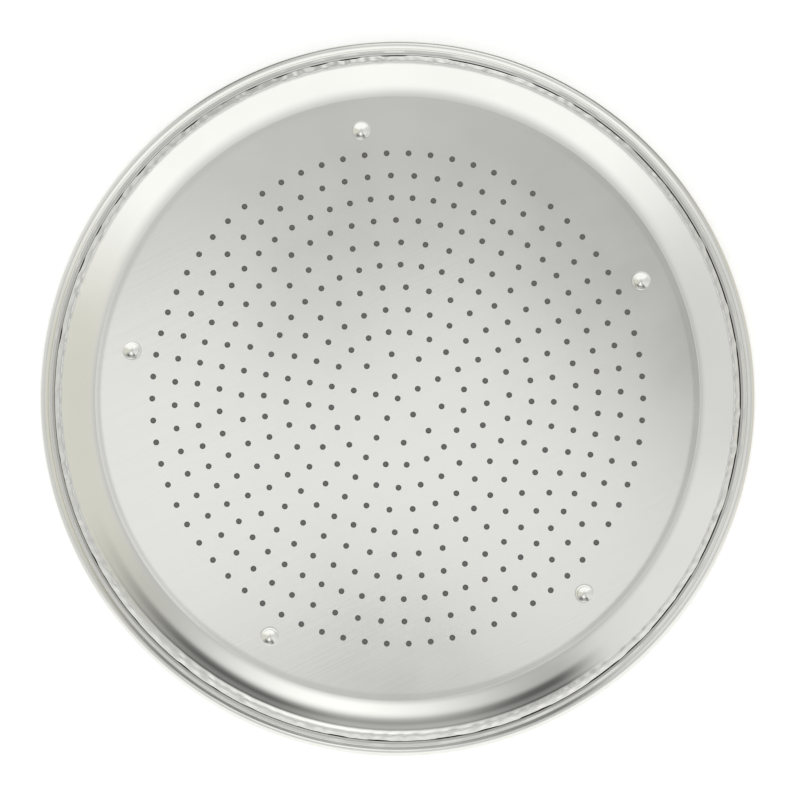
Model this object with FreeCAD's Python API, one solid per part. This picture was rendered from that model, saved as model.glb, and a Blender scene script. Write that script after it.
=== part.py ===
import FreeCAD, Part
import math
import os

# A round, perforated pizza pan pressed from two aluminium sheets.
# The upper sheet is the baking surface. The lower sheet lies under it with an air space
# between, and its edge is rolled up over the upper sheet's flange and round a steel wire,
# which locks the two sheets together without a fastener.
# Millimetres, +Z up. The origin is the centre of the underside, where the pan rests.

# Driving dimensions of the whole pan
RIM_DIAMETER = 406.4
AIR_SPACE = 2.2
FIT_CLEARANCE = 0.1

# Upper sheet: a flat base, a round wall that ends in a short straight stretch, and a narrow
# flange that falls a little to the rim
UPPER_SHEET = 0.8
WALL_RADIUS = 25.0
WALL_SLOPE = 40.0
WALL_STRETCH = 3.0
BEND_RADIUS = 3.2
FLANGE_SLOPE = -5.0

# Steam holes: rings at an even pitch about a centre hole, all started on the +X ray
HOLE_DIAMETER = 3.175
RING_PITCH = 12.7
HOLES_PER_RING = (5, 10, 20, 25, 30, 40, 40, 50, 60, 60, 70)

# Spacers: round dimples pressed down from the upper sheet until they meet the lower one
SPACER_COUNT = 5
SPACER_INSET = 16.5
SPACER_DIAMETER = 10.0
SPACER_EDGE_RADIUS = 0.4

# Rolled rim: the seam where the sheets lie on each other, the lower sheet's curl, the wire
# inside it, and the flat lip in which the curl ends, with the slit that it leaves over the flange
LOWER_SHEET = 0.8
SEAM_WIDTH = 5.8
WIRE_DIAMETER = 3.0
WIRE_CLEARANCE = 0.25
LIP_BEND_RADIUS = 0.6
LIP_WIDTH = 2.6
SLIT_HEIGHT = 0.3

ORIGIN = FreeCAD.Vector(0, 0, 0)
UPWARD = FreeCAD.Vector(0, 0, 1)
OUTWARD = FreeCAD.Vector(1, 0, 0)


def direction(angle):
    """Unit vector in the XZ plane, at an angle in degrees up from the outward direction."""
    return OUTWARD * math.cos(math.radians(angle)) + UPWARD * math.sin(math.radians(angle))


def run(length):
    """A straight stretch of sheet."""
    return {"length": length}


def bend(inside_radius, turn):
    """A bend in the sheet, in degrees, positive where the sheet turns upwards."""
    return {"inside_radius": inside_radius, "turn": turn}


def trace(start, pieces, thickness):
    """Follow a pressed sheet outwards from start, a point of its upper side where it is level.

    Returns the edges of its upper side, those of its lower side, the end point of the
    upper side, and the end heading in degrees.
    """
    upper_edges = []
    lower_edges = []
    point = start
    heading = 0.0
    for piece in pieces:
        down = direction(heading - 90)
        if "length" in piece:
            end = point + direction(heading) * piece["length"]
            upper_edges.append(Part.LineSegment(point, end).toShape())
            lower_edges.append(Part.LineSegment(point + down * thickness, end + down * thickness).toShape())
            point = end
            continue
        turn = piece["turn"]
        side = math.copysign(1, turn)
        upper_radius = piece["inside_radius"] if turn > 0 else piece["inside_radius"] + thickness
        centre = point - down * side * upper_radius
        for edges, radius in ((upper_edges, upper_radius), (lower_edges, upper_radius + side * thickness)):
            first, middle, last = (
                centre + direction(heading + share * turn - 90) * side * radius for share in (0, 0.5, 1)
            )
            edges.append(Part.Arc(first, middle, last).toShape())
        heading += turn
        point = centre + direction(heading - 90) * side * upper_radius
    return upper_edges, lower_edges, point, heading


def end_of(start, pieces, thickness):
    """Where the upper side of a traced sheet ends."""
    return trace(start, pieces, thickness)[2]


def spun_sheet(start, pieces, thickness):
    """The traced sheet as a solid of revolution about the pan's axis."""
    upper_edges, lower_edges, end, heading = trace(start, pieces, thickness)
    across = direction(heading - 90) * thickness
    outer_cap = Part.LineSegment(end, end + across).toShape()
    inner_cap = Part.LineSegment(start + direction(-90) * thickness, start).toShape()
    outline = Part.Wire(upper_edges + [outer_cap] + lower_edges[::-1] + [inner_cap])
    return Part.Face(outline).revolve(ORIGIN, UPWARD, 360)


# The centres of the two sheets' upper sides
LOWER_BASE = UPWARD * LOWER_SHEET
UPPER_BASE = LOWER_BASE + UPWARD * (AIR_SPACE + UPPER_SHEET)

# Both walls turn up about one centre, so the air space is even up to the flange
UPPER_WALL = [
    bend(WALL_RADIUS, WALL_SLOPE),
    run(WALL_STRETCH),
    bend(BEND_RADIUS, FLANGE_SLOPE - WALL_SLOPE),
]
LOWER_UPTURN = bend(WALL_RADIUS + UPPER_SHEET + AIR_SPACE, WALL_SLOPE)
LOWER_OUTTURN = bend(BEND_RADIUS, FLANGE_SLOPE - WALL_SLOPE)

# The flange's seat is the line on which the lower sheet's upper side meets the upper sheet
ALONG_FLANGE = direction(FLANGE_SLOPE)
ABOVE_FLANGE = direction(FLANGE_SLOPE + 90)
FLANGE_TOP = UPPER_SHEET + FIT_CLEARANCE
SEAT_START = end_of(UPPER_BASE, UPPER_WALL, UPPER_SHEET) - ABOVE_FLANGE * FLANGE_TOP

# The lower wall runs on straight until its outward bend comes level with that seat
BENDS_ALONE = end_of(LOWER_BASE, [LOWER_UPTURN, LOWER_OUTTURN], LOWER_SHEET)
LOWER_RISE = (SEAT_START - BENDS_ALONE).dot(ABOVE_FLANGE) / direction(WALL_SLOPE).dot(ABOVE_FLANGE)
LOWER_WALL = [LOWER_UPTURN, run(LOWER_RISE), LOWER_OUTTURN]
SEAM_START = end_of(LOWER_BASE, LOWER_WALL, LOWER_SHEET)
SEAT_LENGTH = (SEAM_START - SEAT_START).dot(ALONG_FLANGE) + SEAM_WIDTH

# The wire stands on the end of the seat, and the rim's size then sets the flat base
WIRE_RADIUS = WIRE_DIAMETER / 2
CURL_INSIDE = WIRE_RADIUS + WIRE_CLEARANCE
CURL_OUTSIDE = CURL_INSIDE + LOWER_SHEET
WIRE_CIRCLE = RIM_DIAMETER / 2 - CURL_OUTSIDE
WIRE_CENTRE = SEAT_START + ALONG_FLANGE * SEAT_LENGTH + ABOVE_FLANGE * CURL_INSIDE
FLAT_RADIUS = WIRE_CIRCLE - WIRE_CENTRE.x
SPACER_CIRCLE = FLAT_RADIUS - SPACER_INSET


def steam_holes():
    """A pin for each steam hole, on the rings that keep one hole's width clear of the spacers."""
    room = SPACER_CIRCLE - SPACER_DIAMETER / 2 - 1.5 * HOLE_DIAMETER
    places = [ORIGIN]
    for ring, count in enumerate(HOLES_PER_RING, start=1):
        if ring * RING_PITCH > room:
            break
        for index in range(count):
            angle = 2 * math.pi * index / count
            places.append(FreeCAD.Vector(math.cos(angle), math.sin(angle), 0) * ring * RING_PITCH)
    below = UPPER_BASE - UPWARD * 2 * UPPER_SHEET
    return [Part.makeCylinder(HOLE_DIAMETER / 2, 3 * UPPER_SHEET, place + below) for place in places]


def spacer():
    """One dimple on the pan's axis: a round bowl that a small bend joins to the level sheet."""
    depth = AIR_SPACE - FIT_CLEARANCE
    slope = 2 * math.atan2(depth, SPACER_DIAMETER / 2)
    edge_radius = SPACER_EDGE_RADIUS + UPPER_SHEET
    bowl_radius = SPACER_DIAMETER / 2 / math.sin(slope) - edge_radius
    pieces = [bend(bowl_radius, math.degrees(slope)), bend(SPACER_EDGE_RADIUS, -math.degrees(slope))]
    return spun_sheet(UPPER_BASE - UPWARD * depth, pieces, UPPER_SHEET)


def upper_pan():
    """The perforated baking sheet with its wall, flange and spacers."""
    wire_half_width = math.sqrt(WIRE_RADIUS**2 - max(CURL_INSIDE - FLANGE_TOP, 0) ** 2)
    flange = run(SEAT_LENGTH - wire_half_width - WIRE_CLEARANCE)
    pan = spun_sheet(UPPER_BASE, [run(FLAT_RADIUS)] + UPPER_WALL + [flange], UPPER_SHEET)
    blank = Part.makeCylinder(SPACER_DIAMETER / 2, UPPER_SHEET, UPPER_BASE - UPWARD * UPPER_SHEET)
    dimple = spacer()
    blanks = []
    dimples = []
    for index in range(SPACER_COUNT):
        for copies, shape in ((blanks, blank), (dimples, dimple)):
            copy = shape.translated(OUTWARD * SPACER_CIRCLE)
            copies.append(copy.rotated(ORIGIN, UPWARD, 360 * index / SPACER_COUNT))
    return pan.cut(blanks + steam_holes()).fuse(dimples).removeSplitter()


def lower_pan():
    """The plain lower sheet: its edge curls over the wire and ends in a lip along the upper flange."""
    lip_radius = LIP_BEND_RADIUS + LOWER_SHEET
    lip_height = FLANGE_TOP + SLIT_HEIGHT
    fall = math.degrees(math.acos((lip_height - CURL_INSIDE + lip_radius) / (CURL_INSIDE + lip_radius)))
    curl = [bend(CURL_INSIDE, 180 + fall), bend(LIP_BEND_RADIUS, -fall), run(LIP_WIDTH)]
    return spun_sheet(LOWER_BASE, [run(FLAT_RADIUS)] + LOWER_WALL + [run(SEAM_WIDTH)] + curl, LOWER_SHEET)


def rim_wire():
    """The steel wire that stiffens the rim, inside the curl."""
    return Part.makeTorus(WIRE_CIRCLE, WIRE_RADIUS, UPWARD * WIRE_CENTRE.z)


os.makedirs("parts", exist_ok=True)
print("flat base radius", round(FLAT_RADIUS, 2), "lower wall run", round(LOWER_RISE, 2))
for name, make in (("upper_pan", upper_pan), ("lower_pan", lower_pan), ("rim_wire", rim_wire)):
    solid = make()
    solid.exportStep("parts/" + name + ".step")
    box = solid.optimalBoundingBox()
    print(name, "solids", len(solid.Solids), "faces", len(solid.Faces), "valid", solid.isValid())
    print("  volume", round(solid.Volume), "radius", round(box.XMax, 2), "z", round(box.ZMin, 2), round(box.ZMax, 2))
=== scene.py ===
# %% [markdown]
# # A perforated pizza pan
#
# The object is a round baking pan pressed from two sheets of aluminium. The upper sheet is the
# baking surface: a flat base full of small holes, a round wall and a narrow wrinkled flange. The
# lower sheet is a plain dish under it, and its edge is rolled over that flange and round a wire.
#
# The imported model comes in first, as a fixed frame. It gives the real sizes, so every surface
# below starts from its boxes, and nothing has to be fitted by eye afterwards.

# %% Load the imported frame
import math

import bpy
import numpy as np
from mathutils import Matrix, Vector
from mathutils.geometry import delaunay_2d_cdt


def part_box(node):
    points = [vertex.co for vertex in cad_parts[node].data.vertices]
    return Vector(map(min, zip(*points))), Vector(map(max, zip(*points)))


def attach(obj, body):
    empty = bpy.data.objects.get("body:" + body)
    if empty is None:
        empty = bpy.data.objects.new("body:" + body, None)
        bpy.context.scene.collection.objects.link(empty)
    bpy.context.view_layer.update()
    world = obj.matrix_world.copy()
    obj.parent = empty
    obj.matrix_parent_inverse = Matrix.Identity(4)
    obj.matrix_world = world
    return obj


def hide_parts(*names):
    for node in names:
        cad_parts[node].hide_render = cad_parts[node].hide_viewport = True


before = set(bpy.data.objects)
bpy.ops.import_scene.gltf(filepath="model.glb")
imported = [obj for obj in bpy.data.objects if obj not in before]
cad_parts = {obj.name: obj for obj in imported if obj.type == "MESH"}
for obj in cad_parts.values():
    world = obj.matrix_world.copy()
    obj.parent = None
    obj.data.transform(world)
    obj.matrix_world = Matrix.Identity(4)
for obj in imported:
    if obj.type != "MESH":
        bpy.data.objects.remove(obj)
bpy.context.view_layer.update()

print("nodes in the frame:", sorted(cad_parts))

# %% [markdown]
# ## The sizes that the sheets share
#
# A pressed sheet is described by very few numbers: its gauge, the radius and slope of its wall,
# and the radius of its bends. The frame adds the rim's radius and the wire's place. All lengths
# are metres, because a Blender unit is a metre here, and all angles are radians.

# %% Sizes of the pan
MM = 0.001
SHEET = 0.8 * MM
AIR_SPACE = 2.2 * MM
WALL_RADIUS = 25 * MM
WALL_SLOPE = math.radians(40)
WALL_STRETCH = 3 * MM
BEND_RADIUS = 3.2 * MM
FLANGE_SLOPE = math.radians(-5)
SEAM_WIDTH = 5.8 * MM
FIT_CLEARANCE = 0.1 * MM
WIRE_CLEARANCE = 0.25 * MM
LIP_BEND_RADIUS = 0.6 * MM
LIP_WIDTH = 2.6 * MM
SLIT_HEIGHT = 0.3 * MM

LOWER_BASE_TOP = SHEET
UPPER_BASE_TOP = LOWER_BASE_TOP + AIR_SPACE + SHEET

wire_low, wire_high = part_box("rim_wire")
WIRE_RADIUS = (wire_high.z - wire_low.z) / 2
WIRE_CENTRE = np.array([wire_high.x - WIRE_RADIUS, wire_low.z + WIRE_RADIUS])
RIM_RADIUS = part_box("lower_pan")[1].x
FLANGE_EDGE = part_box("upper_pan")[1].x


def in_mm(length):
    """A length in millimetres, rounded for the printed notes."""
    return round(length / MM, 2)


print("rim radius", in_mm(RIM_RADIUS), "mm, wire circle", in_mm(WIRE_CENTRE[0]), "mm")

# %% [markdown]
# ## Following a sheet from the middle to its edge
#
# Seen in section, a pressed sheet is a path of straight runs and bends. Blender could extrude and
# bevel such a section by hand, but a path is easier to change: each piece is a length and a turn,
# and the points come from adding up short steps. A step on a bend is a chord, so every point lies
# on the true arc, and the heading at the point gives the sheet's normal at no extra cost.

# %% Pieces of a section


def run(length, steps=1):
    """A straight stretch: a length, no turn, and the number of steps that it is cut into."""
    return length, 0.0, steps


def bend(inside_radius, turn, steps):
    """A bend by turn radians, upwards if positive. Its length is that of the sheet's upper side."""
    radius = inside_radius if turn > 0 else inside_radius + SHEET
    return radius * abs(turn), turn, steps


def follow(start, pieces):
    """Points (radius, height) and headings of a sheet's upper side, outwards from start.

    Each step of a piece has an equal share of its length and turn. It moves by its chord, which is
    the arc times sin(half turn) / (half turn), along the heading halfway through the step.
    """
    lengths, turns, steps = (np.array(column) for column in zip(*pieces))
    arc = np.repeat(lengths / steps, steps)
    turn = np.repeat(turns / steps, steps)
    heading = np.cumsum(turn)
    chord = arc * np.sinc(turn / 2 / np.pi)
    middle = heading - turn / 2
    moves = chord[:, None] * np.stack([np.cos(middle), np.sin(middle)], axis=1)
    points = np.vstack([start, start + np.cumsum(moves, axis=0)])
    return points, np.concatenate([[0.0], heading])


def normals_of(heading):
    """The direction away from the upper side: the heading turned left by a right angle."""
    return np.stack([-np.sin(heading), np.cos(heading)], axis=1)


# %% [markdown]
# ## Where the flat base ends
#
# Both sheets have the same flat base, and only its radius and one straight stretch of the lower
# wall are still unknown. The wire stands on the end of the seam, so the section has to end there.
# Its end moves along the base's heading with the first length and along the wall's heading with
# the second, which makes two equations for two lengths.

# %% Solve the two free lengths
flange_up = np.array([-math.sin(FLANGE_SLOPE), math.cos(FLANGE_SLOPE)])
CURL_INSIDE = WIRE_RADIUS + WIRE_CLEARANCE
SEAM_END = WIRE_CENTRE - flange_up * CURL_INSIDE

UPTURN_STEPS = 10
OUTTURN_STEPS = 7
lower_upturn = bend(WALL_RADIUS + SHEET + AIR_SPACE, WALL_SLOPE, UPTURN_STEPS)
lower_outturn = bend(BEND_RADIUS, FLANGE_SLOPE - WALL_SLOPE, OUTTURN_STEPS)
bends_alone = follow([0, LOWER_BASE_TOP], [lower_upturn, lower_outturn, run(SEAM_WIDTH)])[0][-1]
wall_heading = np.array([math.cos(WALL_SLOPE), math.sin(WALL_SLOPE)])
both_headings = np.transpose([[1, 0], wall_heading])
FLAT_RADIUS, LOWER_RISE = np.linalg.solve(both_headings, SEAM_END - bends_alone)
print("flat base radius", in_mm(FLAT_RADIUS), "mm, straight wall", in_mm(LOWER_RISE), "mm")

# %% [markdown]
# ## The rolled rim in section
#
# Past the seam the lower sheet curls round the wire until it points down at the flange, and then
# bends back into a flat lip that holds the flange down. The lip's underside has a known height over
# the seam, and that height fixes how far the curl has to turn: the two arcs, one after the other,
# must come down by just the right amount. The lip's edge is worked out here, before any surface,
# because the flange below is pressed into a groove along it.

# %% Trace the lower sheet
CURL_STEPS = 30
LIP_BEND_STEPS = 6
LIP_STEPS = 8
COLLAR = 0.8 * MM

lip_radius = LIP_BEND_RADIUS + SHEET
lip_height = SHEET + FIT_CLEARANCE + SLIT_HEIGHT
curl_fall = math.acos((lip_height - CURL_INSIDE + lip_radius) / (CURL_INSIDE + lip_radius))
curl_turn = math.pi + curl_fall
lower_pieces = [
    run(FLAT_RADIUS - COLLAR),
    run(COLLAR),
    lower_upturn,
    run(LOWER_RISE),
    lower_outturn,
    run(SEAM_WIDTH),
    bend(CURL_INSIDE, curl_turn, CURL_STEPS),
    bend(LIP_BEND_RADIUS, -curl_fall, LIP_BEND_STEPS),
    run(LIP_WIDTH, LIP_STEPS),
]
lower_line, lower_heading = follow([0, LOWER_BASE_TOP], lower_pieces)
LIP_REACH = lower_line[-1, 0]
print("curl turns", round(math.degrees(curl_turn)), "degrees, lip reaches in to", in_mm(LIP_REACH), "mm")

# %% [markdown]
# ## A builder for closed surfaces
#
# Every piece here is a set of grids that share their border points: a wall, a base, the inside of
# a hole. The builder keeps one long list of points and hands back their numbers, so two grids meet
# on the same points and no seam has to be welded. Rows run along the section and columns run
# anticlockwise, which makes the faces point away from the metal when the rows go up the outside.

# %% The surface builder
SHARP_CORNER = math.radians(35)
AROUND = 960
around = np.arange(AROUND) * 2 * np.pi / AROUND


def new_object(name, data):
    """An object for a mesh, a lamp or a camera, at the origin and linked to the scene."""
    made = bpy.data.objects.new(name, data)
    bpy.context.scene.collection.objects.link(made)
    return made


class Surface:
    """Points and faces of one closed piece, collected as whole arrays.

    Each point also has a dullness and painted shade, from 0 on the satin faces to 1 in the air space and on
    cut edges.
    """

    def __init__(self):
        self.points = []
        self.dullness_and_shade = []
        self.faces = []
        self.count = 0

    def add(self, grid, dullness_and_shade=0.0):
        """Take an array of points of any shape, and return their numbers in the same shape."""
        numbers = self.count + np.arange(grid[..., 0].size).reshape(grid.shape[:-1])
        self.points.append(grid.reshape(-1, 3))
        self.dullness_and_shade.append(np.broadcast_to(dullness_and_shade, numbers.shape).ravel())
        self.count += numbers.size
        return numbers

    def weave(self, rows):
        """Quads between neighbouring rows of point numbers, closed round in the last direction."""
        near, far = rows[..., :-1, :], rows[..., 1:, :]
        corners = [near, far, np.roll(far, -1, axis=-1), np.roll(near, -1, axis=-1)]
        self.faces += np.stack(corners, axis=-1).reshape(-1, 4).tolist()

    def fan(self, tip, ring):
        """Triangles from one point, or one point for each of several rings, to the ring's edges."""
        corners = np.broadcast_arrays(np.asarray(tip)[..., None], ring, np.roll(ring, -1, axis=-1))
        self.faces += np.stack(corners, axis=-1).reshape(-1, 3).tolist()

    def finish(self, name, slot_name, material):
        """Make the mesh object, smooth but for corners sharper than the limit, on the pan's body."""
        mesh = bpy.data.meshes.new(name)
        mesh.from_pydata(np.concatenate(self.points).tolist(), [], self.faces)
        mesh.polygons.foreach_set("use_smooth", np.ones(len(mesh.polygons), dtype=bool))
        mesh.set_sharp_from_angle(angle=SHARP_CORNER)
        dullness_and_shade = mesh.attributes.new("dullness_and_shade", "FLOAT", "POINT")
        dullness_and_shade.data.foreach_set("value", np.concatenate(self.dullness_and_shade).astype(np.float32))
        mesh.materials.append(material)
        piece = new_object(name, mesh)
        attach(piece, "root")
        mesh.calc_loop_triangles()
        print(name, "has", len(mesh.vertices), "points and", len(mesh.loop_triangles), "triangles")
        return piece


def spin(section):
    """Carry a section round the pan's axis.

    The section holds radius and height for each row, or for each row and column where it varies
    on the way round. A point is (radius cos a, radius sin a, height) at the column's angle a.
    """
    radius, height = np.broadcast_arrays(section[..., 0], section[..., 1])
    if radius.ndim == 1:
        radius, height = radius[:, None], height[:, None]
    flat = np.ones(AROUND)
    return np.stack([radius * np.cos(around), radius * np.sin(around), height * flat], axis=-1)


# %% [markdown]
# ## Unevenness that closes on itself
#
# Pressing and rolling leave a rim that is never quite even: the flange wrinkles where the metal was
# drawn in, and the rolled edge rises and falls. A noise texture would do for a flat sheet, but a
# rim has to meet itself after one turn. A sum of cosine waves with whole numbers of waves per turn
# always does, and a fixed seed gives the same rim on every run.

# %% Waves round the rim


def waves_round(fewest, most, seed):
    """A smooth random height at each angle, of mean 0 and standard deviation 1.

    It is the sum over all whole numbers n from fewest to most of a(n) cos(n angle + p(n)), with
    random amplitudes a and phases p.
    """
    random = np.random.default_rng(seed)
    number = np.arange(fewest, most + 1)
    amplitude = random.normal(size=number.size)
    phase = random.uniform(0, 2 * np.pi, number.size)
    height = np.cos(around[:, None] * number + phase) @ amplitude
    return height / height.std()


def ease(value, low, high):
    """Smooth step: 0 below low, 1 above high, and 3 t t - 2 t t t between them."""
    share = np.clip((value - low) / (high - low), 0, 1)
    return share * share * (3 - 2 * share)


inner_wrinkles = waves_round(fewest=50, most=180, seed=3)
outer_wrinkles = waves_round(fewest=70, most=230, seed=5)
seam_waves = waves_round(fewest=24, most=64, seed=8)
print("wrinkles reach", round(np.abs(inner_wrinkles).max(), 2), "times their standard deviation")

# %% [markdown]
# ## Shader sums written as sums
#
# A procedural material is a small formula, and wiring it node by node hides that. The class below
# wraps an output socket, so that `1 - mask * 0.5` adds the Math nodes by itself. Every other node
# comes from one method, which sets the node's own settings first and then its inputs.

# %% The socket class


class Socket:
    """An output socket of a node tree. Arithmetic on it adds Math nodes to the same tree."""

    def __init__(self, tree, output=None):
        self.tree = tree
        self.output = output

    def node(self, kind, settings=None, inputs=None, output=0):
        """Add a node: first its settings, then its inputs by name or number, as values or links."""
        made = self.tree.nodes.new(kind)
        for name, value in (settings or {}).items():
            setattr(made, name, value)
        for name, value in (inputs or {}).items():
            if isinstance(value, Socket):
                self.tree.links.new(value.output, made.inputs[name])
            else:
                made.inputs[name].default_value = value
        return Socket(self.tree, made.outputs[output] if made.outputs else None)

    def math(self, operation, *values):
        """A Math node on this socket and any further values."""
        return self.node("ShaderNodeMath", {"operation": operation}, dict(enumerate((self, *values))))

    def __add__(self, other):
        return self.math("ADD", other)

    def __sub__(self, other):
        return self.math("SUBTRACT", other)

    def __rsub__(self, other):
        return self.math("MULTIPLY", -1.0) + other

    def __mul__(self, other):
        return self.math("MULTIPLY", other)

    __radd__ = __add__
    __rmul__ = __mul__

    def step(self, low, high):
        """Smooth step of this value: 0 at low, 1 at high."""
        limits = {"Value": self, "From Min": low, "From Max": high}
        return self.node("ShaderNodeMapRange", {"interpolation_type": "SMOOTHSTEP"}, limits)

    def along(self, direction):
        """How far this vector goes in a direction: the dot product of the two."""
        dot = {"operation": "DOT_PRODUCT"}
        return self.node("ShaderNodeVectorMath", dot, {0: self, 1: direction}, output="Value")

    def mix(self, first, second):
        """Blend two colours, with this value as the share of the second."""
        colours = {"Factor": self, 6: first, 7: second}
        return self.node("ShaderNodeMix", {"data_type": "RGBA"}, colours, output=2)


def cleared(owner):
    """Turn on the shader nodes of a material or world, drop those it has, and start a new tree."""
    owner.use_nodes = True
    owner.node_tree.nodes.clear()
    return Socket(owner.node_tree)


def grey(level, blue=1.0):
    """A neutral colour, or a slightly warm one where its blue is less than its red and green."""
    return level, level, blue * level, 1.0


# %% [markdown]
# ## Satin aluminium
#
# The pan is bare aluminium with the dull gloss of rolled sheet. It has no colour of its own beyond
# a faint warmth, so what makes it metal is how softly it mirrors the room. Three things vary: long
# fine lines from the rolling mill, which lie straight across the whole sheet, cloudy patches where
# the surface is a little rougher, and a fine pebble. They feed roughness and bump, and only faintly
# the colour. In the air space, the holes and the seam nothing is ever rubbed smooth, so the metal is
# matt there, and its colour is also darkened there as painted shade. Each point of a piece says how
# much, in an attribute of its mesh.

# %% The aluminium finish
WARM = 0.955
MATT_ROUGHNESS = 0.30
# A dark grey for painted shade: hidden and recessed metal turns to it, it is not the metal's own colour
PAINTED_SHADE_TINT = grey(0.22, blue=WARM)
MILL_LINE_SCALE = (5.0, 900.0, 40.0)
CLOUD_SCALE = 22.0
CLOUD_LIMITS = (0.3, 0.7)
PEBBLE_SCALE = 1400.0
MILL_LINE_SHARE = 0.7
RELIEF_STRENGTH = 0.5
CLOUD_TINT = 0.965
CLOUD_ROUGHNESS = 0.05
MILL_LINE_ROUGHNESS = 0.03


def aluminium(name, tint, roughness, grain_depth):
    """Bare rolled sheet: metal with mill lines along X, soft clouds and a fine pebble."""
    material = bpy.data.materials.new(name)
    nodes = cleared(material)
    place = nodes.node("ShaderNodeTexCoord", output="Object")
    dull_and_shaded = nodes.node("ShaderNodeAttribute", {"attribute_name": "dullness_and_shade"}, output="Fac")
    stretched = nodes.node("ShaderNodeMapping", {}, {"Vector": place, "Scale": MILL_LINE_SCALE})

    def noise(where, scale, detail):
        """A noise texture from 0 to 1, with its mean at a half."""
        return nodes.node("ShaderNodeTexNoise", {}, {"Vector": where, "Scale": scale, "Detail": detail})

    mill_lines = noise(stretched, scale=1.0, detail=3.0)
    clouds = noise(place, CLOUD_SCALE, detail=4.0)
    pebble = noise(place, PEBBLE_SCALE, detail=2.0)
    height = mill_lines * MILL_LINE_SHARE + pebble * (1 - MILL_LINE_SHARE)
    relief = nodes.node(
        "ShaderNodeBump", {}, {"Strength": RELIEF_STRENGTH, "Distance": grain_depth, "Height": height}
    )
    clouded = tuple(CLOUD_TINT * channel for channel in tint[:3]) + (1.0,)
    satin = clouds.step(*CLOUD_LIMITS).mix(clouded, tint)
    satin_roughness = roughness + (clouds - 0.5) * CLOUD_ROUGHNESS + (mill_lines - 0.5) * MILL_LINE_ROUGHNESS
    # Where the mesh attribute is 1 the colour turns to that dark grey: painted shade in the air space, the
    # holes, the groove and the seam
    shader = nodes.node(
        "ShaderNodeBsdfPrincipled",
        {},
        {
            "Base Color": dull_and_shaded.mix(satin, PAINTED_SHADE_TINT),
            "Metallic": 1.0,
            "Roughness": satin_roughness * (1 - dull_and_shaded) + dull_and_shaded * MATT_ROUGHNESS,
            "Normal": relief,
        },
    )
    nodes.node("ShaderNodeOutputMaterial", {}, {"Surface": shader})
    return material


baking_finish = aluminium("satin_aluminium", grey(0.83, WARM), roughness=0.10, grain_depth=0.01 * MM)
plain_finish = aluminium("plain_aluminium", grey(0.81, WARM), roughness=0.19, grain_depth=0.015 * MM)
print("finishes:", baking_finish.name, plain_finish.name)

# %% [markdown]
# ## Upper sheet: wall, flange and the groove at the seam
#
# The wall is a round that ends in a short straight stretch and turns out into a narrow flange. At
# its foot the pressed sheet has sprung back a little, so the base falls to a very shallow gutter
# before the wall rises: a few hundredths of a millimetre, but a mirror shows it as a dark line round
# the base. The wall has to end where the plain round would, so its radius and the gutter's place are
# solved for. At the top, a single tight bend would give the flange a hard inner edge. So the last
# few degrees are turned on a wider radius, and the straight stretch makes up the height.
#
# On the real pan the flange is wrinkled like the edge of a pie case, because a flat disc has too
# much metal for a smaller circle. One set of wrinkles would stand in straight rays like piano keys,
# so two sets fade into each other across the flange. They are added along the sheet's normal and
# fade out down the wall, and on its loose side the flange also droops a little. Where the lip of the
# other sheet comes down, the flange is pressed into a narrow groove. It is deep where the seam
# stands open and hardly there where it is tight. Where the seam stands open the groove is also matt
# and painted dark as the shade in the slit, so it shows as a broken dark line round the rim.

# %% The wall with a gutter at its foot
WALL_STEPS = 10
FOOT_STEPS = 4
GUTTER_STEPS = 3
GUTTER_EASE = 110 * MM
GUTTER_SLOPE = math.radians(1.1)
GUTTER_WIDTH = 2.0 * MM
FOOT_RADIUS = 3 * MM
FOOT_SLOPE = math.radians(6)


def wall_pieces(wall_radius):
    """The base's collar, the gutter, the wall's foot, and the wall up to its straight stretch."""
    return [
        run(COLLAR),
        bend(GUTTER_EASE, -GUTTER_SLOPE, GUTTER_STEPS),
        run(GUTTER_WIDTH),
        bend(FOOT_RADIUS, GUTTER_SLOPE + FOOT_SLOPE, FOOT_STEPS),
        bend(wall_radius, WALL_SLOPE - FOOT_SLOPE, WALL_STEPS),
    ]


plain_end = follow([FLAT_RADIUS, UPPER_BASE_TOP], [bend(WALL_RADIUS, WALL_SLOPE, WALL_STEPS)])[0][-1]
unit_end, double_end = (follow([0, UPPER_BASE_TOP], wall_pieces(n * WALL_RADIUS))[0][-1] for n in (1, 2))
wall_share = 1 + (plain_end - unit_end)[1] / (double_end - unit_end)[1]
wall_width = unit_end[0] + (wall_share - 1) * (double_end - unit_end)[0]
collar_start = np.array([plain_end[0] - wall_width, UPPER_BASE_TOP])
print("gutter from radius", in_mm(collar_start[0] + COLLAR), "mm")
print("wall radius", in_mm(wall_share * WALL_RADIUS), "mm")

# %% The upper sheet's section
BEND_STEPS = 9
TOP_RADIUS = 5 * MM
EASED_TURN = math.radians(10)
EASED_RADIUS = 8 * MM
EASED_STEPS = 5
FLANGE_STEPS = 6
GROOVE_STEPS = 7
HIDDEN_STEPS = 2
STRETCH_STEPS = 2
GROOVE_WIDTH = 0.8 * MM
UNDER_LIP = 0.3 * MM


def upper_wall(straight, top_bends):
    """The wall up to the flange, with its straight stretch and the bend or bends at its top."""
    return wall_pieces(wall_share * WALL_RADIUS) + [run(straight, STRETCH_STEPS)] + top_bends


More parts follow.
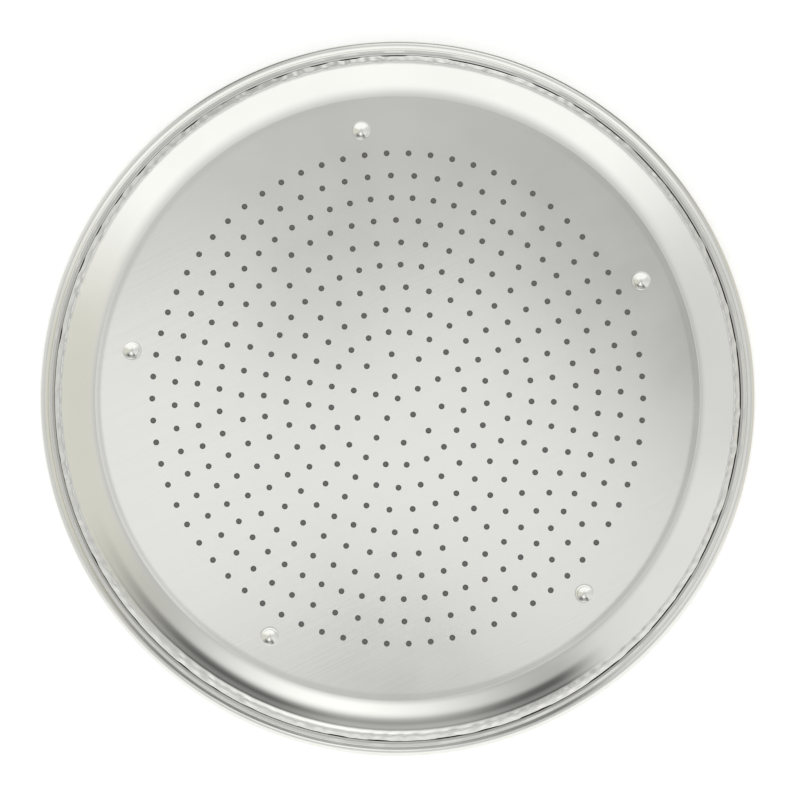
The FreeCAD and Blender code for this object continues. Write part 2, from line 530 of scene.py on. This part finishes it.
turn_out = FLANGE_SLOPE - WALL_SLOPE
plain_bend = [bend(BEND_RADIUS, turn_out, BEND_STEPS)]
eased_bend = [
    bend(TOP_RADIUS, turn_out + EASED_TURN, BEND_STEPS),
    bend(EASED_RADIUS, -EASED_TURN, EASED_STEPS),
]
plain_start = follow(collar_start, upper_wall(WALL_STRETCH, plain_bend))[0][-1]
eased_start = follow(collar_start, upper_wall(WALL_STRETCH, eased_bend))[0][-1]
stretch = WALL_STRETCH + (plain_start - eased_start) @ flange_up / (wall_heading @ flange_up)
upper_pieces = upper_wall(stretch, eased_bend)
flange_start = follow(collar_start, upper_pieces)[0][-1]
groove_start = LIP_REACH - GROOVE_WIDTH
flange_ends = np.array([flange_start[0], groove_start, LIP_REACH + UNDER_LIP, FLANGE_EDGE])
flange_lengths = np.diff(flange_ends) / math.cos(FLANGE_SLOPE)
upper_pieces += map(run, flange_lengths, [FLANGE_STEPS, GROOVE_STEPS, HIDDEN_STEPS])
upper_line, upper_heading = follow(collar_start, upper_pieces)
upper_normal = normals_of(upper_heading)
print("straight stretch", in_mm(stretch), "mm")
print("flange from radius", in_mm(flange_start[0]), "to", in_mm(upper_line[-1, 0]), "mm")

# %% Displace the section on its way round
TIGHT_SIDE = math.radians(160)
SEAM_OPENNESS = 0.8
SEAM_TIGHTENING = 2.4
SEAM_SOFTNESS = 0.5
GROOVE_DEPTH = 0.7 * MM
GROOVE_LEAST = 0.05
LOOSE_SIDE = math.radians(245)
WRINKLE_HEIGHT = 0.045 * MM
WRINKLE_FADE = 4.5 * MM
WRINKLE_LEAST = 0.7
WRINKLE_GAIN = 0.6
DROOP_SLOPE = math.radians(4)


def nearness(side):
    """1 on a given side of the pan and 0 opposite: half a cosine of the angle between, plus a half."""
    return 0.5 + 0.5 * np.cos(around - side)


seam_gap = seam_waves + SEAM_OPENNESS - SEAM_TIGHTENING * nearness(TIGHT_SIDE)
opening = ease(seam_gap, -SEAM_SOFTNESS, SEAM_SOFTNESS)
upper_radius = upper_line[:, :1]
in_groove = ease(upper_radius, groove_start, LIP_REACH)
groove = GROOVE_DEPTH * (GROOVE_LEAST + (1 - GROOVE_LEAST) * opening) * in_groove
ease_start = flange_start[0] - EASED_RADIUS * EASED_TURN
outwards = ease(upper_radius, ease_start, groove_start) * np.pi / 2
both_wrinkles = inner_wrinkles * np.cos(outwards) + outer_wrinkles * np.sin(outwards)
near_flange = ease(upper_radius - flange_start[0], -WRINKLE_FADE, 0)
looseness = nearness(LOOSE_SIDE)
wrinkle = WRINKLE_HEIGHT * (WRINKLE_LEAST + WRINKLE_GAIN * looseness) * both_wrinkles * near_flange
droop = DROOP_SLOPE * looseness * np.maximum(upper_radius - ease_start, 0)
shift = wrinkle - droop
upper_side = upper_line[:, None] + (shift - groove)[..., None] * upper_normal[:, None]
under_side = upper_line[:, None] + (shift - SHEET)[..., None] * upper_normal[:, None]
print("groove depth", in_mm(groove.min()), "to", in_mm(groove.max()), "mm")


def every_fourth(rows):
    """Fewer rows for a side that nobody sees, with the first and the last kept."""
    return np.concatenate([rows[:-1:4], rows[-1:]])


# %% [markdown]
# ## Upper sheet: the perforated base
#
# The base is one flat sheet with a centre hole and eleven rings of holes, evenly pitched. A boolean
# cut of 411 cylinders would work, but it is slow and leaves long crossing faces. Instead the rims of
# all holes and dimples are worked out as circles, and a constrained Delaunay triangulation fills the
# sheet between them. A triangle whose corners all lie on one hole's rim lies in that hole, because a
# circle bulges outwards everywhere, so those triangles are dropped. Round each dimple and inside the
# wall the sheet stays flat for a narrow collar, so that smooth shading starts where the bend does.

# %% Places of the holes and dimples
HOLE_RADIUS = 3.175 * MM / 2
HOLE_EASE = 0.12 * MM
RING_PITCH = 12.7 * MM
HOLES_PER_RING = (5, 10, 20, 25, 30, 40, 40, 50, 60, 60, 70)
HOLE_SIDES = 24
SPACER_COUNT = 5
SPACER_RADIUS = 5 * MM
SPACER_INSET = 16.5 * MM
SPACER_CIRCLE = FLAT_RADIUS - SPACER_INSET
SPACER_SIDES = 48


def ring_of(radius, count):
    """Points at equal angles on a circle, the first of them on the +X ray."""
    angle = np.arange(count) * 2 * np.pi / count
    return radius * np.stack([np.cos(angle), np.sin(angle)], axis=1)


hole_rings = [ring_of(ring * RING_PITCH, count) for ring, count in enumerate(HOLES_PER_RING, start=1)]
hole_places = np.vstack([np.zeros((1, 2))] + hole_rings)
spacer_places = ring_of(SPACER_CIRCLE, SPACER_COUNT)
print(len(hole_places), "holes and", len(spacer_places), "dimples")

# %% Fill the flat sheet between the circles
FILL_INSIDE = 1
SAME_POINT = 1e-8


def sheet_between(edge, holes, dimples):
    """Triangles between an edge loop and several inner loops, as numbers into all their points.

    The loops are arrays of points on a plane. Their points come in the order edge, holes, dimples.
    """
    loops = [edge[None], holes, dimples]
    points = np.concatenate([loop.reshape(-1, 2) for loop in loops])
    sizes = np.concatenate([np.full(loop.shape[0], loop.shape[1]) for loop in loops])
    loop_of = np.repeat(np.arange(sizes.size), sizes)
    first = np.repeat(np.cumsum(sizes) - sizes, sizes)
    here = np.arange(len(points))
    ahead = first + (here - first + 1) % np.repeat(sizes, sizes)
    borders = np.stack([here, ahead], axis=1)
    filled = delaunay_2d_cdt(points.tolist(), borders.tolist(), [], FILL_INSIDE, SAME_POINT)
    triangles = np.array(filled[3]).ravel()[np.array(filled[2])]
    owners = loop_of[triangles]
    in_a_loop = (owners == owners[:, :1]).all(axis=1) & (owners[:, 0] > 0)
    return triangles[~in_a_loop]


edge_loop = ring_of(collar_start[0], AROUND)
hole_loops = hole_places[:, None] + ring_of(HOLE_RADIUS + HOLE_EASE, HOLE_SIDES)
spacer_loops = spacer_places[:, None] + ring_of(SPACER_RADIUS + COLLAR, SPACER_SIDES)
base_triangles = sheet_between(edge_loop, hole_loops, spacer_loops)
print("flat sheet filled with", len(base_triangles), "triangles")

# %% [markdown]
# ## Upper sheet: the dimples
#
# Five round dimples stand outside the field of holes and keep the two sheets apart. Each is a
# shallow bowl with a small bend at its edge, so its section is traced like the wall's, from the
# bowl's lowest point outwards. The grid for all five is worked out at once: the dimple, the row
# along the section, and the column round it.

# %% A dimple's section
SPACER_DEPTH = AIR_SPACE - FIT_CLEARANCE
SPACER_EDGE = 0.4 * MM
BOWL_STEPS = 10
EDGE_STEPS = 5
spacer_slope = 2 * math.atan2(SPACER_DEPTH, SPACER_RADIUS)
bowl_radius = SPACER_RADIUS / math.sin(spacer_slope) - SPACER_EDGE - SHEET
dimple_pieces = [
    bend(bowl_radius, spacer_slope, BOWL_STEPS),
    bend(SPACER_EDGE, -spacer_slope, EDGE_STEPS),
    run(COLLAR),
]
dimple_line, dimple_heading = follow([0, UPPER_BASE_TOP - SPACER_DEPTH], dimple_pieces)
dimple_under = every_fourth(dimple_line - SHEET * normals_of(dimple_heading))
print("dimple", in_mm(SPACER_DEPTH), "mm deep, sides at", round(math.degrees(spacer_slope), 1), "degrees")


def bowls(section):
    """The section spun about each dimple's own axis: an array of dimple, row, column, xyz."""
    turn = ring_of(1.0, SPACER_SIDES)
    flat = spacer_places[:, None, None] + section[:, None, :1] * turn
    height = np.broadcast_to(section[:, None, 1:], flat.shape[:-1] + (1,))
    return np.concatenate([flat, height], axis=-1)


# %% [markdown]
# ## Upper sheet: putting it together
#
# The wall's grid starts and ends on the edge of the flat base, on the upper side and on the under
# side. The base's triangles, the hole walls and the dimples all use those same points, so the sheet
# closes into one solid skin with its real thickness, and light that falls through a hole meets the
# lower sheet as it does on the real pan. The hole walls and the sheet's underside are matt and
# painted dark as shade, and so is the lower sheet's top.

# %% Build the upper sheet


def at_height(loops, height):
    """Flat loops lifted to a height, as points in space."""
    return np.concatenate([loops, np.full(loops.shape[:-1] + (1,), height)], axis=-1)


def upper_sheet():
    """The perforated sheet as one closed surface."""
    surface = Surface()
    base_under = UPPER_BASE_TOP - SHEET
    hidden_side = every_fourth(under_side)[::-1]
    # Painted shade: the groove is darkened where the seam stands open, and the underside that faces the air
    # space is dark
    dullness_and_shade = np.concatenate([in_groove * opening, np.ones(hidden_side.shape[:2])])
    rows = surface.add(spin(np.concatenate([upper_side, hidden_side])), dullness_and_shade)
    surface.weave(rows)
    hole_under = hole_places[:, None] + ring_of(HOLE_RADIUS, HOLE_SIDES)
    hole_rows = [
        at_height(hole_under, base_under),
        at_height(hole_under, UPPER_BASE_TOP - HOLE_EASE),
        at_height(hole_loops, UPPER_BASE_TOP),
    ]
    # The hole walls are matt and painted dark as shade
    hole_dullness_and_shade = np.array([1.0, 1.0, 0.0])[:, None]
    holes = surface.add(np.stack(hole_rows, axis=1), hole_dullness_and_shade)
    surface.weave(holes)
    bowl = surface.add(bowls(dimple_line[1:]))
    surface.weave(bowl)
    surface.fan(surface.add(bowls(dimple_line[:1])[:, 0, 0]), bowl[:, 0])
    boss = surface.add(bowls(dimple_under[:0:-1]), 1.0)
    surface.weave(boss)
    surface.fan(surface.add(bowls(dimple_under[:1])[:, 0, 0], 1.0), boss[:, -1, ::-1])
    top_numbers = np.concatenate([rows[0], holes[:, -1].ravel(), bowl[:, -1].ravel()])
    under_numbers = np.concatenate([rows[-1], holes[:, 0].ravel(), boss[:, 0].ravel()])
    surface.faces += top_numbers[base_triangles].tolist()
    surface.faces += under_numbers[base_triangles[:, ::-1]].tolist()
    return surface


baking_sheet = upper_sheet().finish("baking_sheet", "baking_sheet", baking_finish)
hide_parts("upper_pan")

# %% [markdown]
# ## Lower sheet and its rolled rim
#
# The lower sheet has the same base and wall, set off by the air space, and then the rim that was
# traced above: the seam, the bead and the lip. One section carried round the axis makes all of it.
# The lip was sheared before it was rolled, so its edge is thinned and rounded on top and stays matt.
# The edge and the thinned band on top are also painted darker, partly for the cut edge's dullness
# and partly as painted shade along the seam. Inside the curl and in the air space the sheet is matt
# and painted dark as shade.
# It also wanders a little in height, up where the seam stands open and down where it is tight.

# %% The lower sheet's section
EDGE_ROUND_STEPS = 4
WORN_WIDTH = 1.3 * MM
WORN_DEPTH = 0.45 * MM
# The lip's thinned band is half dark: partly the cut edge's dullness, partly painted shade along the seam
WORN_DULLNESS_AND_SHADE = 0.5
FULLY_DULL_AND_SHADED_AT = 0.3

rows_to_edge = np.arange(len(lower_line))[::-1]
lip_share = np.clip(1 - rows_to_edge / LIP_STEPS, 0, 1)
worn = np.clip(1 - (1 - lip_share) * LIP_WIDTH / WORN_WIDTH, 0, 1)
gauge = SHEET - WORN_DEPTH * (1 - np.sqrt(1 - worn**2))
lower_under = lower_line - gauge[:, None] * normals_of(lower_heading)
edge_middle = (lower_line[-1] + lower_under[-1]) / 2
edge_turn = lower_heading[-1] + np.linspace(np.pi / 2, -np.pi / 2, EDGE_ROUND_STEPS + 2)[1:-1]
lower_edge = edge_middle + gauge[-1] / 2 * np.stack([np.cos(edge_turn), np.sin(edge_turn)], axis=1)
print("rim top at", in_mm(lower_under[:, 1].max()), "mm, lip edge", in_mm(gauge[-1]), "mm thick")

# %% Let the bead and its edge wander
BEAD_WAVE = 0.03 * MM
EDGE_WAVE = 0.10 * MM


def round_the_edge(inside, at_edge, outside):
    """Rows out along the hidden inside, round the lip's edge, and back along the outside."""
    return np.concatenate([every_fourth(inside[1:]), at_edge, outside[:0:-1]])


lower_section = round_the_edge(lower_line, lower_edge, lower_under)
edge_ones = np.ones(EDGE_ROUND_STEPS)
# Painted shade: the hidden inside and the lip's edge are dark, and the thinned band on top is half so
worn_dullness_and_shade = WORN_DULLNESS_AND_SHADE * ease(worn, 0, FULLY_DULL_AND_SHADED_AT)
lower_dullness_and_shade = round_the_edge(np.ones(len(lower_line)), edge_ones, worn_dullness_and_shade)[:, None]
on_lip = round_the_edge(lip_share, edge_ones, lip_share)[:, None]
radius, height = lower_section[:, :1], lower_section[:, 1:]
on_bead = ease(height, WIRE_CENTRE[1], lower_under[:, 1].max())
bead_waves = waves_round(fewest=9, most=60, seed=21)
lift = BEAD_WAVE * bead_waves * on_bead + EDGE_WAVE * (2 * opening - 1) * on_lip
lower_rows = np.stack([np.broadcast_to(radius, lift.shape), height + lift], axis=-1)
print("edge wanders by", in_mm(np.abs(lift).max()), "mm")

# %% Build the lower sheet


def lower_sheet():
    """The plain sheet as one closed surface with a pole on each side of its middle."""
    surface = Surface()
    rows = surface.add(spin(lower_rows), lower_dullness_and_shade)
    surface.weave(rows)
    # The pole in the air space is matt and painted dark as shade
    upper_pole = surface.add(np.array([0, 0, LOWER_BASE_TOP]), 1.0)
    under_pole = surface.add(np.array([0, 0, LOWER_BASE_TOP - SHEET]))
    surface.fan(upper_pole, rows[0])
    surface.fan(under_pole, rows[-1, ::-1])
    return surface


rolled_sheet = lower_sheet().finish("rolled_sheet", "lower_sheet", plain_finish)
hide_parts("lower_pan")

# %% [markdown]
# ## The rim wire
#
# The wire is hidden in the curl. Its solid is already right, so it stays as it is and only gets a
# finish: drawn steel with a thin zinc coat, whose crystals show as a faint spangle.

# %% The wire's finish
SPANGLE_SCALE = 900.0
SPANGLE_LIMITS = (0.0, 0.8)
DARK_ZINC = grey(0.42)
LIGHT_ZINC = grey(0.55)
ZINC_ROUGHNESS = 0.35
SPANGLE_ROUGHNESS = 0.15


def zinc_coated_steel(name):
    """Drawn wire: grey metal with a cell pattern that shifts its tone and roughness."""
    material = bpy.data.materials.new(name)
    nodes = cleared(material)
    place = nodes.node("ShaderNodeTexCoord", output="Object")
    cells = {"Vector": place, "Scale": SPANGLE_SCALE}
    spangle = nodes.node("ShaderNodeTexVoronoi", {}, cells, output="Distance")
    shader = nodes.node(
        "ShaderNodeBsdfPrincipled",
        {},
        {
            "Base Color": spangle.step(*SPANGLE_LIMITS).mix(DARK_ZINC, LIGHT_ZINC),
            "Metallic": 1.0,
            "Roughness": ZINC_ROUGHNESS + spangle * SPANGLE_ROUGHNESS,
        },
    )
    nodes.node("ShaderNodeOutputMaterial", {}, {"Surface": shader})
    return material


wire_finish = zinc_coated_steel("zinc_coated_steel")
wire_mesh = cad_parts["rim_wire"]
for material_slot in wire_mesh.material_slots:
    material_slot.material = wire_finish
print("wire finish on", len(wire_mesh.material_slots), "slot")

# %% [markdown]
# ## The picture's own directions
#
# The photograph looks straight down, and the first ray of holes points up to the right in it. The
# camera is turned by that angle, and the lights are placed by the picture's right and top, so that
# what lies to the left of the pan in the photograph also does so here.

# %% Camera
RAY_ANGLE = math.radians(25.74)
FRAME_WIDTH = 454.3 * MM
CAMERA_HEIGHT = 4.0
SENSOR_WIDTH = 36.0
PAN_OFF_CENTRE = np.array([-1.32, 0.89]) * MM

picture_right = np.array([math.cos(RAY_ANGLE), -math.sin(RAY_ANGLE), 0.0])
picture_top = np.array([math.sin(RAY_ANGLE), math.cos(RAY_ANGLE), 0.0])
straight_up = np.array([0.0, 0.0, 1.0])


def in_picture(right, top, height):
    """A point given by its distances to the picture's right and top and above the floor."""
    return Vector(right * picture_right + top * picture_top + height * straight_up)


camera_data = bpy.data.cameras.new("camera")
camera_data.sensor_width = SENSOR_WIDTH
camera_data.lens = SENSOR_WIDTH * CAMERA_HEIGHT / FRAME_WIDTH
camera = new_object("camera", camera_data)
camera.location = in_picture(-PAN_OFF_CENTRE[0], -PAN_OFF_CENTRE[1], CAMERA_HEIGHT + WIRE_CENTRE[1])
camera.rotation_euler = (0.0, 0.0, -RAY_ANGLE)
bpy.context.scene.camera = camera
bpy.context.scene.view_settings.view_transform = "Standard"
print("lens", round(camera_data.lens), "mm at", CAMERA_HEIGHT, "m")

# %% [markdown]
# ## Floor
#
# The floor is a plain white disc. To the camera, and in the metal's reflections, it has to come out
# white without more light on the pan, so a little emission is added for those rays only. The rest of
# its brightness is ordinary diffuse light, which keeps the soft shadow under the rim.

# %% White floor
FLOOR_RADIUS = 6.0
FLOOR_SIDES = 64
FLOOR_DROP = 0.2 * MM
FLOOR_COLOUR = 0.85
FLOOR_GLOW = 0.40


def seen_directly(nodes):
    """1 for rays from the camera, from mirrors and through glass, and 0 for diffuse light."""
    camera_ray = nodes.node("ShaderNodeLightPath", output="Is Camera Ray")
    glossy_ray = nodes.node("ShaderNodeLightPath", output="Is Glossy Ray")
    clear_ray = nodes.node("ShaderNodeLightPath", output="Is Transmission Ray")
    return camera_ray.math("MAXIMUM", glossy_ray).math("MAXIMUM", clear_ray)


def floor_paint():
    """Matt white, with a glow for rays that look at it."""
    material = bpy.data.materials.new("floor_paint")
    nodes = cleared(material)
    matt = nodes.node("ShaderNodeBsdfDiffuse", {}, {"Color": grey(FLOOR_COLOUR)})
    glow = nodes.node("ShaderNodeEmission", {}, {"Strength": seen_directly(nodes) * FLOOR_GLOW})
    both = nodes.node("ShaderNodeAddShader", {}, {0: matt, 1: glow})
    nodes.node("ShaderNodeOutputMaterial", {}, {"Surface": both})
    return material


floor_points = at_height(ring_of(FLOOR_RADIUS, FLOOR_SIDES), -FLOOR_DROP)
floor_mesh = bpy.data.meshes.new("floor")
floor_mesh.from_pydata(floor_points.tolist(), [], [list(range(FLOOR_SIDES))])
floor_mesh.materials.append(floor_paint())
floor = new_object("floor", floor_mesh)
print("floor of", FLOOR_RADIUS, "m radius")

# %% [markdown]
# ## Studio light
#
# Bare sheet metal shows the room more than the lamps, so the room is the light. It is a white tent,
# brightest towards the bottom of the picture and a little cream on its right. Towards the top it
# stands open, which gives the dark reflections on the pan's wall at the bottom of the picture. The
# opening is lighter at the horizon and high up, there is a far wall behind it, and a bright panel
# hangs in it. The roof is duller than the sides, most of all along its edge, to the right and in one
# corner.
#
# Lamps alone could light the base, but they would leave the wall black between their reflections. So
# the world's shader describes the tent by direction: how far round from the picture's top, clockwise,
# and how high.

# %% Levels of the tent
SIDE_LEVEL = 0.79
BOTTOM_EXTRA = 0.37
LEFT_EXTRA = 0.10
CREAM = (1.0, 0.985, 0.91, 1.0)
OPENING_LEVEL = 0.12
HORIZON_EXTRA = 0.20
HIGH_EXTRA = 0.36
FAR_WALL_EXTRA = 0.26
PANEL_LEVEL = 1.24
ROOF_LEVEL = 0.67
ROOF_EXTRA_AT_TOP = 0.06
ROOF_LESS_AT_RIGHT = 0.28
ROOF_LESS_IN_CORNER = 0.09
ROOF_EDGE_LEVEL = 0.47
ROOF_EDGE_EXTRA_AT_BOTTOM = 0.13
ROOF_EDGE_EXTRA_AT_RIGHT = 0.10
print("tent from", OPENING_LEVEL, "in its opening to", PANEL_LEVEL, "on its panel")

# %% Edges of the tent
# In degrees: one limit or two, and then how far the edge is soft to each side of it
SIDES_AND_TOP_TURN = (-125, 115, 16)
LEFT_TURN = (-80, -40, 10)
CREAM_TURN = (50, 112, 14)
CREAM_END_HEIGHT = (70, 12)
OPENING_START_TURN = (-35, 6)
OPENING_END_TURN = (54, 19)
HORIZON_END_HEIGHT = (15, 7)
HIGH_START_HEIGHT = (37, 8)
FAR_WALL_TURN = (-16, 16, 9)
FAR_WALL_END_HEIGHT = (34, 10)
PANEL_TURN = (-12, 33, 21)
PANEL_START_HEIGHT = (36, 17)
ROOF_START_HEIGHT = (78, 13)
ROOF_START_HEIGHT_AT_BOTTOM = (69, 20)
ROOF_EDGE_END_HEIGHT = (85, 3)
# On the roof: sines of the angle from straight up, towards the picture's right or top
ROOF_FADE = (-0.1, 0.1)
CORNER_RIGHT = (0.022, 0.048)
CORNER_TOP = (-0.03, 0.0)


def past(angle, limit, soft):
    """1 where an angle is past a limit in degrees, with an edge of soft degrees each way."""
    return angle.step(math.radians(limit - soft), math.radians(limit + soft))


def between(angle, low, high, soft):
    """1 where an angle lies between two limits in degrees, with an edge of soft degrees each way."""
    return past(angle, low, soft) * (1 - past(angle, high, soft))


def over(level, mask, new_level):
    """A level that gives way to a new one where the mask is 1."""
    return level * (1 - mask) + mask * new_level


# %% The white tent


def tent_sides(turn, high, bottom):
    """Level of the sides: more at the bottom and left, and an opening with a panel at the top."""
    level = SIDE_LEVEL + bottom * BOTTOM_EXTRA + between(turn, *LEFT_TURN) * LEFT_EXTRA
    far_wall = between(turn, *FAR_WALL_TURN) * (1 - past(high, *FAR_WALL_END_HEIGHT))
    horizon = 1 - past(high, *HORIZON_END_HEIGHT)
    in_opening = OPENING_LEVEL + far_wall * FAR_WALL_EXTRA + horizon * HORIZON_EXTRA
    in_opening = in_opening + past(high, *HIGH_START_HEIGHT) * HIGH_EXTRA
    open_part = past(turn, *OPENING_START_TURN) * (1 - past(turn, *OPENING_END_TURN))
    panel = between(turn, *PANEL_TURN) * past(high, *PANEL_START_HEIGHT)
    return over(over(level, open_part, in_opening), panel, PANEL_LEVEL)


def tent_roof(right, top, high, bottom):
    """Level of the roof: less at the right and in a corner, and less again along its edge."""
    to_right = right.step(*ROOF_FADE)
    corner = right.step(*CORNER_RIGHT) * top.step(*CORNER_TOP)
    level = ROOF_LEVEL + top.step(*ROOF_FADE) * ROOF_EXTRA_AT_TOP - to_right * ROOF_LESS_AT_RIGHT
    level = level - corner * ROOF_LESS_IN_CORNER
    edge = ROOF_EDGE_LEVEL + bottom * ROOF_EDGE_EXTRA_AT_BOTTOM + to_right * ROOF_EDGE_EXTRA_AT_RIGHT
    return over(edge, past(high, *ROOF_EDGE_END_HEIGHT), level)


def tent(world):
    """Brightness by direction for mirrored and diffuse rays, and plain white for the camera."""
    nodes = cleared(world)
    sight = nodes.node("ShaderNodeTexCoord", output="Generated")
    right = sight.along(picture_right)
    top = sight.along(picture_top)
    turn = right.math("ARCTAN2", top)
    high = sight.along(straight_up).math("ARCSINE")
    bottom = 1 - between(turn, *SIDES_AND_TOP_TURN)
    roof_start = past(high, *ROOF_START_HEIGHT)
    roof_part = over(roof_start, bottom, past(high, *ROOF_START_HEIGHT_AT_BOTTOM))
    level = over(tent_sides(turn, high, bottom), roof_part, tent_roof(right, top, high, bottom))
    camera_ray = nodes.node("ShaderNodeLightPath", output="Is Camera Ray")
    shown = over(level, camera_ray, 1.0)
    cream = between(turn, *CREAM_TURN) * (1 - past(high, *CREAM_END_HEIGHT)) * (1 - camera_ray)
    colour = cream.mix(grey(1.0), CREAM)
    background = nodes.node("ShaderNodeBackground", {}, {"Color": colour, "Strength": shown})
    nodes.node("ShaderNodeOutputWorld", {}, {"Surface": background})


studio = bpy.data.worlds.new("studio")
bpy.context.scene.world = studio
tent(studio)
print("tent has", len(studio.node_tree.nodes), "nodes")

# %% [markdown]
# ## Lamps
#
# Two soft boxes hang a little below the picture's middle, and they make the bright field on the base.
# They hang far up, so that their light is nearly parallel and their reflections lie evenly on the
# sheet. The gap between them shows as a faint dark streak across the holes, as it does on any satin
# sheet that lies under two lamps. A third lamp stands to the upper left and only draws the soft
# shadow on the floor, so mirrored rays don't see it.

# %% Hang the lamps
LAMP_HEIGHT = 12.0
SHADOW_LAMP_PLACE = in_picture(-0.8, 0.9, 1.6)
SHADOW_LAMP_SIZE = 0.7
SHADOW_RADIANCE = 0.8


def soft_lamp(name, place, width, depth, radiance):
    """A rectangular lamp that looks at the pan's middle. Its power is pi times area times radiance."""
    data = bpy.data.lights.new(name, "AREA")
    data.shape = "RECTANGLE"
    data.size = width
    data.size_y = depth
    data.energy = math.pi * width * depth * radiance
    lamp = new_object(name, data)
    lamp.location = place
    lamp.rotation_euler = (-place).to_track_quat("-Z", "Y").to_euler()
    lamp.visible_camera = False
    return lamp


def hung_lamp(name, right, top, width, depth, turn, radiance):
    """A soft box that faces straight down, turned by some degrees in the picture."""
    lamp = soft_lamp(name, in_picture(right, top, LAMP_HEIGHT), width, depth, radiance)
    lamp.rotation_euler = (0.0, 0.0, math.radians(turn) - RAY_ANGLE)
    return lamp


left_lamp = hung_lamp(
    "left_lamp", right=-0.576, top=-0.201, width=0.734, depth=0.969, turn=13, radiance=0.39
)
right_lamp = hung_lamp(
    "right_lamp", right=0.293, top=-0.226, width=1.033, depth=0.709, turn=-39, radiance=0.48
)
shadow_lamp = soft_lamp(
    "shadow_lamp", SHADOW_LAMP_PLACE, SHADOW_LAMP_SIZE, SHADOW_LAMP_SIZE, SHADOW_RADIANCE
)
shadow_lamp.visible_glossy = False
print("lamps:", left_lamp.name, right_lamp.name, shadow_lamp.name)
